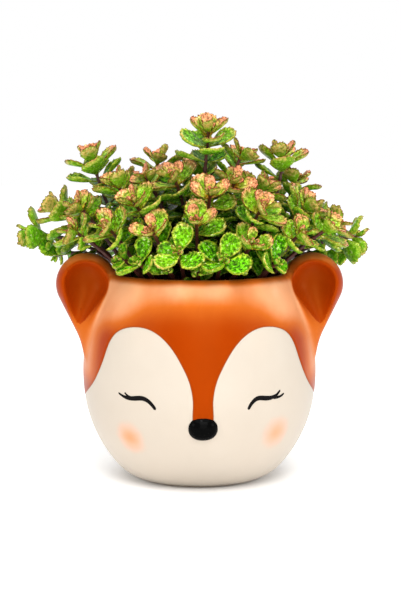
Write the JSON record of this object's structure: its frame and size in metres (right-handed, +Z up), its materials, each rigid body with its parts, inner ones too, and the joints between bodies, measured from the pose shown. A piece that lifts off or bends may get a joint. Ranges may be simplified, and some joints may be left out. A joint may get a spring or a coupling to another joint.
{
  "type": "animal shaped planter",
  "caption": "Round ceramic planter shaped as an animal's head with cupped ears, planted with stonecrop in a root ball that lifts out.",
  "frame": {"origin": "middle of the foot ring's underside, on the surface that the planter stands on", "axes": "+Z up through the pot's middle, the face looks along -Y, the ears stand out along +X and -X"},
  "size_m": [0.2016, 0.1534, 0.2051],
  "materials": {
    "orange_glaze": "satin",
    "black_glaze": "gloss",
    "stopper_rubber": "matte",
    "net_plastic": "matte",
    "clay_ball": "matte",
    "potting_mix": "matte",
    "root_ball_mix": "matte",
    "stonecrop": "satin"
  },
  "bodies": {
    "pot_body": {"pot": "orange_glaze", "nose": "black_glaze", "drain_mesh": "net_plastic", "gravel": "clay_ball", "soil_backfill": "potting_mix"},
    "planting": {"root_ball": "root_ball_mix", "sprig_01": "stonecrop", "sprig_02": "stonecrop", "sprig_03": "stonecrop", "sprig_04": "stonecrop", "sprig_05": "stonecrop", "sprig_06": "stonecrop", "sprig_07": "stonecrop", "sprig_08": "stonecrop", "sprig_09": "stonecrop", "sprig_10": "stonecrop", "sprig_11": "stonecrop", "sprig_12": "stonecrop", "sprig_13": "stonecrop", "sprig_14": "stonecrop", "sprig_15": "stonecrop", "sprig_16": "stonecrop", "sprig_17": "stonecrop", "sprig_18": "stonecrop", "sprig_19": "stonecrop", "sprig_20": "stonecrop", "sprig_21": "stonecrop", "sprig_22": "stonecrop", "sprig_23": "stonecrop", "sprig_24": "stonecrop", "sprig_25": "stonecrop", "sprig_26": "stonecrop", "sprig_27": "stonecrop", "sprig_28": "stonecrop", "sprig_29": "stonecrop", "sprig_30": "stonecrop", "sprig_31": "stonecrop", "sprig_32": "stonecrop", "sprig_33": "stonecrop", "sprig_34": "stonecrop", "sprig_35": "stonecrop", "sprig_36": "stonecrop", "sprig_37": "stonecrop", "sprig_38": "stonecrop", "sprig_39": "stonecrop", "sprig_40": "stonecrop", "sprig_41": "stonecrop", "sprig_42": "stonecrop", "sprig_43": "stonecrop", "sprig_44": "stonecrop", "sprig_45": "stonecrop", "sprig_46": "stonecrop", "sprig_47": "stonecrop", "sprig_48": "stonecrop", "sprig_49": "stonecrop", "sprig_50": "stonecrop"},
    "stopper": {"drain_plug": "stopper_rubber"}
  },
  "joints": [
    {"name": "planting_lift", "type": "slide", "parent": "pot_body", "child": "planting", "axis": [0, 0, 1], "range_m": [0, 0.12]},
    {"name": "stopper_pull", "type": "slide", "parent": "pot_body", "child": "stopper", "axis": [0, 0, -1], "range_m": [0, 0.015]}
  ]
}
